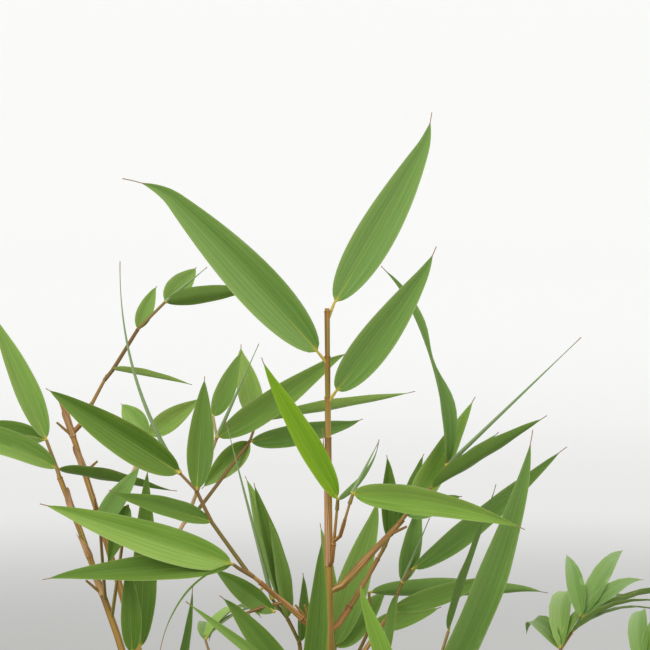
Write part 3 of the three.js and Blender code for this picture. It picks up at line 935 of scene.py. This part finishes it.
# %% Leaf tints
TINTS = {
    "mid": rgb(113, 145, 69),
    "soft": rgb(124, 154, 70),
    # deep is the green of old leaves and also painted shade for leaves that lie in shadow.
    "deep": rgb(94, 124, 42),
    "bright": rgb(124, 158, 54),
    "fresh": rgb(140, 172, 76),
    "lime": rgb(126, 164, 18),
    # pale is painted haze: leaves at the back of the plant washed paler.
    "pale": rgb(142, 168, 80),
    "reed": rgb(132, 152, 104),
}
FINE_TINTS = {
    "leaf_top_left": "mid",
    "leaf_top": "mid",
    "leaf_top_right": "mid",
    "spray_young": "lime mid",
    "spray_fork": "fresh mid",
    "spray_right": "mid mid fresh deep mid mid",
    "spray_left": "mid deep deep deep",
    "spray_left_low": "fresh deep deep",
    "spray_front_right": "mid mid bright deep",
    "spray_front": "deep bright deep",
    "spray_low_right": "mid soft mid deep mid",
    "spray_right_far": "mid soft",
    "spray_far": "soft soft soft",
    "spray_far_right": "pale mid pale soft",
    "spray_far_left": "pale soft",
    "spray_far_top": "deep pale soft soft soft",
    "spray_back": "soft pale soft",
    "leaf_left_upright": "deep",
    "small_low": "deep",
    "small_middle": "deep",
    "small_high": "mid",
}
OTHER_TINTS = ["mid", "deep", "bright", "soft"]
MASS_TINTS = ["mid", "deep", "bright", "soft", "mid", "deep"]
print(len(TINTS), "tints,", len(FINE_TINTS), "sprays with tints of their own")

# %% [markdown]
# Most leaves take a random fold, twist and hook. A few show their own habit clearly, such as a hooked tip, a
# long dry thread or a blade that is pinched in its middle, and these are told apart by the name of the spray
# and their number in it.

# %% Leaf habits
SPEAR_WIDTH = 3.5 * MM
HABITS = {
    "leaf_top_left 0": {"hook": 1.2, "thread": 2.0, "fold": 0.4, "twist": 0.0},
    "leaf_top 0": {"hook": 0.6, "thread": 1.4, "fold": 0.45, "twist": 0.15, "wave": 0.0},
    "leaf_top_right 0": {"hook": 0.3, "thread": 1.6, "fold": 0.5, "twist": 0.1, "wave": 0.0},
    "spray_right 0": {"pinch": 0.72, "twist": 0.0, "hook": 0.8},
    "spray_left_low 2": {"thin": 0.22, "thread": 2.5},
    "spray_left_foot 0": {"spear": False, "fold": 0.2, "thin": 1.8, "hook": 0.0},
    "spray_young 1": {"thin": 0.8, "thread": 3.0},
}

print(len(HABITS), "leaves with a habit of their own")

# %% [markdown]
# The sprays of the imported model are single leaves, lobe for lobe. A mass of foliage is only a stand-in: each
# of its lobes is a small fan of leaves on the plant, so a lobe becomes one leaf down its middle and two
# smaller ones swung out to the sides from the same foot, with sky between them.

# %% Grow the leaves
WIDEST = 17 * MM
leaves = {tint: [] for tint in TINTS}
stands_for = {tint: set() for tint in TINTS}


def swung(lobe, degrees, size, rng):
    """A smaller leaf from the same foot, swung sideways in the plane of the first."""
    along = lobe["end"] - lobe["foot"]
    turn = Matrix.Rotation(math.radians(degrees), 3, Vector(lobe["facing"]))
    tilt = Matrix.Rotation(math.radians(rng.uniform(-12, 12)), 3, Vector(unit(along)))
    spin = np.array(turn @ tilt)
    return {
        "foot": lobe["foot"],
        "end": lobe["foot"] + spin @ along * size,
        "bend": spin @ lobe["bend"] * size,
        "facing": spin @ lobe["facing"],
        "width": lobe["width"],
        "length": lobe["length"] * size,
    }


count = 0
for name, lobes in sprays.items():
    named = FINE_TINTS.get(name, "").split()
    for k, lobe in enumerate(lobes):
        rng = random.Random(f"{name} {k}")
        count += 1
        if name.startswith("foliage"):
            stands = [dict(lobe)]
            for way in (-1, 1):
                stands.append(swung(lobe, way * rng.uniform(16, 34), rng.uniform(0.6, 0.85), rng))
            for j, leaf in enumerate(stands):
                leaf["width"] = min(WIDEST, leaf["length"] * rng.uniform(0.13, 0.2))
                tint = rng.choice(MASS_TINTS)
                habit = {
                    "fold": rng.uniform(0.2, 0.6),
                    "twist": rng.uniform(-0.7, 0.7),
                    "droop": rng.uniform(0.0, 0.25),
                }
                leaves[tint].append(bent(plain_blank, leaf, f"{name}_{k}_{j}", rng, **habit))
                stands_for[tint].add(name)
        else:
            tint = named[k % len(named)] if named else OTHER_TINTS[(count + k) % len(OTHER_TINTS)]
            habit = {
                "fold": rng.uniform(0.3, 0.6),
                "twist": rng.uniform(-0.3, 0.3),
                "wave": rng.uniform(0.02, 0.05),
                "hook": rng.uniform(-0.6, 0.6),
                "thread": rng.uniform(0.8, 1.6),
            }
            own = HABITS.get(f"{name} {k}", {})
            if lobe["width"] < SPEAR_WIDTH and own.get("spear", True):
                tint = "reed"
                habit = {"spear": True}
            habit.update(own)
            leaves[tint].append(bent(fine_blank, lobe, f"{name}_{k}", rng, **habit))
            if name in nodes:
                stands_for[tint].add(name)

print(count, "lobes,", sum(map(len, leaves.values())), "leaves")

# %% [markdown]
# Low on the canes, where the light is poor, each node puts out a short side shoot with three leaves on it.
# The shoots take turns to either side of the cane, as bamboo's do. Each leaf has a place along the shoot,
# from 0 to 1, and a swing to one side in radians.

# %% Side shoots
SHOOT_FROM, SHOOT_TO = 205 * MM, 350 * MM
SHOOT_LEAVES = ((1.0, 0.0), (0.95, 0.8), (0.6, -0.8))
SHOOT_RADII = np.array([0.8, 0.75, 0.65, 0.5]) * MM
SHOOT_TINTS = ["mid", "deep", "soft", "mid"]
BARE_SHARE = 0.15
UP = np.array([0, 0, 1.0])
shoots = []


def direction(bearing, rise):
    """The direction at a bearing round the plant and an angle up."""
    return np.array([math.cos(bearing) * math.cos(rise), math.sin(bearing) * math.cos(rise), math.sin(rise)])


rng = random.Random(31)
for name, g in growth.items():
    if not name.startswith("cane"):
        continue
    bearing = rng.uniform(0, 2 * math.pi)
    for k, at in enumerate(g["nodes"]):
        root = moved_to(g["line"], lengths_along(g["line"]), np.array([at]))[0]
        bearing += math.pi + rng.uniform(-0.5, 0.5)
        if not SHOOT_FROM < root[2] < SHOOT_TO or rng.random() < BARE_SHARE:
            continue
        reach = rng.uniform(18, 34) * MM
        path = np.array([root + direction(bearing, 0.6 + 0.3 * s) * reach * s for s in (0, 0.35, 0.7, 1)])
        shoots.append(rod(f"shoot_{name}_{k}", path, SHOOT_RADII, [reach * 0.6], sides=6))
        for j, (place, swing) in enumerate(SHOOT_LEAVES):
            along = direction(bearing + swing + rng.uniform(-0.2, 0.2), rng.uniform(0.0, 0.6))
            length = rng.uniform(46, 72) * MM
            foot = moved_to(path, lengths_along(path), np.array([reach * place * 0.98]))[0]
            width = length * rng.uniform(0.14, 0.19)
            leaf = straight_leaf(foot, foot + along * length, width, UP, bow=0.03)
            habit = {
                "fold": rng.uniform(0.2, 0.5),
                "twist": rng.uniform(-0.6, 0.6),
                "droop": rng.uniform(0.1, 0.5),
            }
            piece = bent(plain_blank, leaf, f"shoot_{name}_{k}_{j}", rng, **habit)
            leaves[rng.choice(SHOOT_TINTS)].append(piece)
strips(shoots, 10)
print(len(shoots), "side shoots")
shoots = smooth(joined(shoots, "shoots"), 50)

for made in (fine_blank, plain_blank):
    bpy.data.objects.remove(made["piece"])

# %% [markdown]
# ## Leaf colour
# The blade is green with long parallel stripes, a pale midrib, a yellow foot and a brown thread at the tip.
# One half of the folded blade is darker with painted shade, deepest near the foot, and the other half is
# lighter with painted light. A band of painted shade lies in the crease beside the midrib, and a thin
# painted highlight runs along the margins. A painted map would need a new one for each shape, so all of it
# is worked out from the leaf's own UV, across from margin to margin and along from foot to tip. x is 0 on
# the midrib and 1 or -1 at the margins. A little light passes through the blade.

# %% Leaf paint
FOOT_YELLOW = rgb(196, 174, 62)


def leaf_paint(name, green):
    """The paint of leaves of one tint."""
    p = Paint(name, Specular_IOR_Level=0.25, Subsurface_Weight=0.1, Subsurface_Scale=0.001)
    p.shader.inputs["Subsurface Radius"].default_value = (0.9, 1.0, 0.4)
    across, along, _ = p.axes(p.map("OFBake"))
    upper = across.step(0.505, 0.495)
    x = (across - 0.25) * 4 * upper + (across - 0.75) * 4 * (1 - upper)
    stripes = p.noise(p.vector(x * 12, along * 0.5, 3), 1.0, detail=4, roughness=0.6)
    bands = p.noise(p.vector(x * 3.5, along * 0.9, 7), 1.0, detail=1)
    # dark: painted shade and the dark stripes. light: painted light and the pale stripes.
    dark = dimmed(green, 0.4, 0.6, 0.25)
    light = dimmed(green, 1.35, 1.22, 1.7)
    # Painted shade on one half of the folded blade, in long patches and deepest near the foot.
    shaded = x.step(-0.25, 0.45) * bands.step(0.25, 0.6) * along.step(0.9, 0.2)
    colour = p.blend(shaded * 0.6, green, dark)
    colour = p.blend(stripes.step(0.48, 0.68) * 0.7, colour, dark)
    # Painted light on the other half of the blade, together with the pale stripes.
    colour = p.blend(x.step(0.3, -0.4) * 0.3 + stripes.step(0.45, 0.25) * 0.35, colour, light)
    # A band of painted shade in the crease along either side of the midrib.
    midrib_crease_shade = x.size().step(0.16, 0.05)
    colour = p.blend(midrib_crease_shade * 0.3, colour, dark)
    rib = (x.size() - along.step(0.2, 0.05) * 0.05).step(0.05, 0.01) * (1 - along)
    rib_colour = p.blend(along.step(0.1, 0.25), rgb(178, 182, 76), rgb(158, 182, 92))
    colour = p.blend(rib * 0.45, colour, rib_colour)
    # A thin painted highlight along the margins of the blade.
    edge = x.size().step(0.955, 0.99)
    colour = p.blend(edge * 0.6, colour, rgb(176, 196, 118))
    underside = p.blend(stripes * 0.4, dimmed(green, 1.1), rgb(140, 164, 108))
    colour = p.blend((1 - upper) * 0.7, colour, underside)
    foot = (along + x.size() * 0.02).step(0.06, 0.015)
    colour = p.blend(foot, colour, FOOT_YELLOW)
    tip = along.step(0.935, 0.965)
    colour = p.blend(tip, colour, rgb(146, 104, 70))
    height = stripes * 0.5 + p.noise(p.vector(x * 40, along * 2, 1), 1.0) * 0.3
    rough = 0.5 + stripes * 0.15
    return p.finish(colour, rough, height, depth=0.00012)


bpy.context.view_layer.update()
for tint, made in leaves.items():
    if not made:
        continue
    piece = sealed(joined(made, "leaves_" + tint))
    smooth(piece, 60)
    piece.data.materials.clear()
    piece.data.materials.append(leaf_paint("leaf " + tint, TINTS[tint]))
    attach(piece, "root")
    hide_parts(*sorted(stands_for[tint]))
    "young_leaf" if tint == "lime" else "leaf"
    print(tint, len(made), "leaves", len(piece.data.polygons), "faces")

# %% [markdown]
# ## Cane colour
# Dry sheaths are tan to orange brown with a fine lengthwise grain, more olive where the cane shows above
# a collar, with a dark line at each collar. A wood texture would run on past the nodes, so the colours
# follow the share of its length that each point was given. The tone sets rods apart: from 0.9 up they are
# painted paler as haze, for rods at the back of the plant, and 2 is the yellow stalk of a big lone leaf.

# %% Cane paint
def cane_paint(name, tan, olive, brown):
    """The paint of canes, branches, twigs or sheaths."""
    p = Paint(name, Specular_IOR_Level=0.4)
    round_it, along, _ = p.axes(p.map("OFBake"))
    share = p.reading("share")
    tone = p.reading("tone")
    grain = p.noise(p.vector(round_it * 160, along * 4, tone * 50), 1.0, detail=3)
    patch = p.noise(p.place(), 60, detail=2)
    colour = p.blend((patch + tone * 0.5 - 0.1).step(0.35, 0.75), tan, olive)
    colour = p.blend(share.step(0.5, 1.0) * 0.5, colour, brown)
    colour = p.blend(grain.step(0.44, 0.64) * 0.7, colour, dimmed(brown, 0.4))
    colour = p.blend(grain.step(0.45, 0.25) * 0.35, colour, rgb(216, 184, 120))
    # Painted haze: rods of tone 0.9 and up, at the back of the plant, are washed paler.
    colour = p.blend(tone.step(0.9, 1.0) * 0.55, colour, rgb(214, 182, 138))
    colour = p.blend(tone.step(1.5, 2.0) * 0.8, colour, FOOT_YELLOW)
    collar = share.step(0.97, 0.995)
    colour = p.blend(collar * 0.5, colour, rgb(96, 64, 36))
    return p.finish(colour, 0.5 + grain * 0.2, grain, depth=0.00025)


cane_mat = cane_paint("cane", rgb(178, 138, 70), rgb(150, 134, 48), rgb(170, 114, 52))
branch_mat = cane_paint("branch", rgb(182, 134, 76), rgb(160, 126, 60), rgb(168, 106, 54))
twig_mat = cane_paint("twig", rgb(154, 122, 70), rgb(132, 122, 54), rgb(138, 94, 52))
sheath_mat = cane_paint("sheath", rgb(196, 150, 112), rgb(182, 140, 92), rgb(176, 116, 78))
for piece, material, slot, kinds in (
    (canes, cane_mat, "cane", ("cane",)),
    (branches, branch_mat, "branch", ("branch",)),
    (twigs, twig_mat, "branch", ()),
    (sheaths, sheath_mat, "cane", ()),
    (stubs, branch_mat, "branch", ()),
    (shoots, twig_mat, "branch", ()),
):
    piece.data.materials.clear()
    piece.data.materials.append(material)
    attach(piece, "root")
    if kinds:
        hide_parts(*[n for n in nodes if n.startswith(kinds)])
    print(piece.name, "in slot", slot)

# %% [markdown]
# ## The pot and the compost
# A thrown clay pot is a lathe shape: foot, wall, shoulder and a thick rim, with the inside following the
# outside. Screwing a drawn outline round would do as well, but a rolled grid also brings a clean UV map. The
# outline is a short list of distances out and up in millimetres, from the middle of the inside round the rim
# to the middle of the underside. The sides lean out by 21 mm over the pot's 165 mm.

# %% Pot
ROUND = 72
WALL_FOOT = 56
WALL_RISE = 21 / 165
_, pot_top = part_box("pot")
pot_height, rim_radius = pot_top[2] / MM, pot_top[0] / MM


def wall_inside(z):
    """The pot's inside radius at a height, both in millimetres."""
    return WALL_FOOT + WALL_RISE * z


def lathe(name, profile, sides):
    """A shape of revolution from a profile of distances out and up, in metres."""
    out = np.array([p[0] for p in profile])
    up = np.array([p[1] for p in profile])

    def shape(turn, row):
        angle = turn * 2 * math.pi
        return np.stack([out[row] * np.cos(angle), out[row] * np.sin(angle), up[row]], axis=1)

    piece, _ = rolled(name, sides, len(profile), shape)
    return sealed(piece)


inside_floor = [(0, 11), (30, 11), (52, 11), (56, 11.6), (58.2, 14)]
inside_wall = [(wall_inside(z), z) for z in (22, 50, 80, 110, 131, 150, 160)]
lip = [(77.4, 163), (79, 164.6), (81, pot_height), (92, pot_height), (94.6, 164.2), (rim_radius, 162)]
rim = [(95.6, 158), (94.6, 148), (93.6, 138), (93, 135), (91.6, 133), (89, 132), (84.5, 131.4)]
outside_wall = [(83, 130), (82.2, 124), (78, 94), (73.5, 62), (69, 32), (65, 6), (64.2, 2.4), (62.6, 0.7)]
underside = [(60, 0), (34, 0), (0, 0)]
pot_profile = inside_floor + inside_wall + lip + rim + outside_wall + underside
pot = lathe("pot_thrown", [(out * MM, up * MM) for out, up in pot_profile], ROUND)
print("pot", round(pot_height), "mm tall,", round(2 * rim_radius), "mm across")

# %% [markdown]
# Four holes in the floor let the water out. A potter pushes them through the wet clay, and here a drill goes
# through with a Boolean modifier each time.

# %% Drain holes
HOLES = 4
HOLE_RADIUS = 6 * MM
HOLE_OUT = 34 * MM
for k in range(HOLES):
    bearing = (k + 0.5) * 2 * math.pi / HOLES
    where = (HOLE_OUT * math.cos(bearing), HOLE_OUT * math.sin(bearing), 0)
    add = bpy.ops.mesh.primitive_cylinder_add
    drill = begin(add, "drill", vertices=24, radius=HOLE_RADIUS, depth=44 * MM, location=where)
    modified(pot, "BOOLEAN", object=drill, solver="EXACT")
    bpy.data.objects.remove(drill)
smooth(pot, 35)
print("pot with holes:", len(pot.data.polygons), "faces")

# %% [markdown]
# Fired clay is matt and never one even colour: it has soft clouds from the kiln and a fine sandy grit that
# can be felt. Both are noise on the pot's own coordinates, one coarse and one fine, and the grit is also the
# relief.

# %% Clay
clay = Paint("clay", Specular_IOR_Level=0.3)
grit = clay.noise(clay.place(), 900, detail=3)
cloud = clay.noise(clay.place(), 22, detail=3)
fired = clay.blend(cloud.step(0.3, 0.7), rgb(178, 106, 76), rgb(196, 128, 96))
fired = clay.blend(grit.step(0.55, 0.8) * 0.4, fired, rgb(150, 88, 62))
pot.data.materials.append(clay.finish(fired, 0.8 + grit * 0.1, grit, depth=0.0002))
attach(pot, "root")
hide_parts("pot")
print("clay on", pot.name)

# %% [markdown]
# The pot is filled with compost to a little below its rim. The fill is another lathe shape, which follows
# the pot's inside with a small gap, and its flat top is cut into narrow rings.

# %% Compost
FILL_GAP = 0.4
FILL_FOOT = 11.4
TOP_RINGS = 24
RING_WIDTH = 3
_, compost_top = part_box("compost")
soil_top = compost_top[2] / MM
soil_profile = [(0, FILL_FOOT)]
soil_profile += [(wall_inside(z) - FILL_GAP, z) for z in (FILL_FOOT, 40, 80, 120, soil_top - 1)]
soil_profile += [(73 - RING_WIDTH * k, soil_top) for k in range(TOP_RINGS)] + [(0, soil_top)]
soil = lathe("compost_fill", [(out * MM, up * MM) for out, up in soil_profile], ROUND)
smooth(soil, 60)
earth = Paint("compost", Specular_IOR_Level=0.2)
fine_grain = earth.noise(earth.place(), 300, detail=4)
colour = earth.blend(fine_grain.step(0.35, 0.7), rgb(52, 36, 26), rgb(96, 70, 50))
soil.data.materials.append(earth.finish(colour, 0.95, fine_grain, depth=0.001))
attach(soil, "root")
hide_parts("compost")
print("compost up to", round(soil_top), "mm")

# %% [markdown]
# The compost's surface is crumbs and flakes of bark. A bump map would stay flat at the pot's edge, so they
# are real. One crumb is an ico sphere of twenty faces, squashed and turned a different way each time, and
# half sunk in the fill. They are spread evenly over a disc by taking the root of a random share.

# %% Crumbs
CRUMBS = 420
SPREAD = 73 * MM
SUNK = 0.2 * MM
rng = random.Random(5)
seed_crumb = begin(bpy.ops.mesh.primitive_ico_sphere_add, "crumb", subdivisions=1, radius=1)
ball = places(seed_crumb.data)
crumbs = []
for k in range(CRUMBS):
    far, bearing = SPREAD * math.sqrt(rng.random()), rng.uniform(0, 2 * math.pi)
    copy = twin(seed_crumb, f"crumb_{k}")
    size = np.array([rng.uniform(1.2, 4.5), rng.uniform(1.0, 2.6), rng.uniform(0.6, 1.4)]) * MM
    turn = Matrix.Rotation(rng.uniform(0, 6.3), 3, "Z") @ Matrix.Rotation(rng.uniform(-0.5, 0.5), 3, "X")
    middle = (far * math.cos(bearing), far * math.sin(bearing), compost_top[2] - SUNK)
    set_places(copy.data, (ball * size) @ np.array(turn.transposed()) + middle)
    crumbs.append(copy)
bpy.data.objects.remove(seed_crumb)
crumbs = joined(crumbs, "bark")
bark = Paint("bark", Specular_IOR_Level=0.2)
flake = bark.noise(bark.place(), 160, detail=2)
colour = bark.blend(flake.step(0.35, 0.65), rgb(58, 40, 28), rgb(120, 84, 58))
crumbs.data.materials.append(bark.finish(colour, 0.9, flake, depth=0.0004))
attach(crumbs, "root")
print(CRUMBS, "crumbs,", len(crumbs.data.polygons), "faces")

# %% [markdown]
# ## The studio
# A round floor turned up at the edge stands in for a roll of paper, so that it looks the same from all
# round. It is pale grey underfoot and glows white from about two metres out, a painted glow in place of
# studio light, and its grey is painted lighter further out. Its outline is in metres.

# %% Floor
floor_profile = [(0, 0), (1, 0), (3, 0), (5, 0), (7, 0), (9, 0.05), (11, 0.35), (12.5, 1.0), (13.5, 2.2)]
floor_profile += [(14, 4), (14, 6)]
floor = lathe("floor", floor_profile, 64)
smooth(floor, 60)
paper = Paint("paper", Specular_IOR_Level=0.0, Emission_Strength=0.45)
px, py, _ = paper.axes(paper.place())
away = (px * px + py * py) ** 0.5
# Painted light: from about 2 m out the paper glows white, though it is no lamp.
glow = paper.blend(away.step(2.0, 4.8), (0, 0, 0, 1), (1, 1, 1, 1))
paper.feed(paper.shader.inputs["Emission Color"], glow)
# The paper's grey is painted lighter further out, in place of light on the backdrop.
greys = paper.blend(away.step(4.0, 12.0), rgb(180, 180, 178), rgb(206, 207, 205))
floor.data.materials.append(paper.finish(greys, 0.9))
print("floor", 2 * floor_profile[-1][0], "m across")

# %% [markdown]
# Leaves show their form in soft light from above. Three big square lights hang round the plant and face its
# middle: a key light at the left, a weak fill at the right, and one from behind that shines through the
# leaves. The air itself is white, as in a white room.

# %% Lights
AIM = (0, 0, 0.4)
ROOM_LIGHT = 0.72


def soft_light(name, place, size, power, tint=(1, 1, 1)):
    """A square light that faces the plant's middle."""
    bpy.ops.object.light_add(type="AREA", location=place)
    lamp = bpy.context.object
    lamp.name = name
    lamp.data.size, lamp.data.energy, lamp.data.color = size, power, tint
    lamp.rotation_euler = (Vector(AIM) - Vector(place)).to_track_quat("-Z", "Y").to_euler()
    return lamp


lamps = [
    soft_light("key", (-1.6, -1.6, 2.6), 1.6, 58, (1, 0.99, 0.97)),
    soft_light("fill", (2.2, -1.8, 1.4), 2.0, 15),
    soft_light("rim", (0.8, 2.0, 2.2), 1.6, 24),
]
world = bpy.data.worlds.new("white room")
world.use_nodes = True
air = world.node_tree.nodes["Background"]
air.inputs["Color"].default_value = (1, 1, 1, 1)
air.inputs["Strength"].default_value = ROOM_LIGHT
bpy.context.scene.world = world
print({lamp.name: lamp.data.energy for lamp in lamps}, "watts")
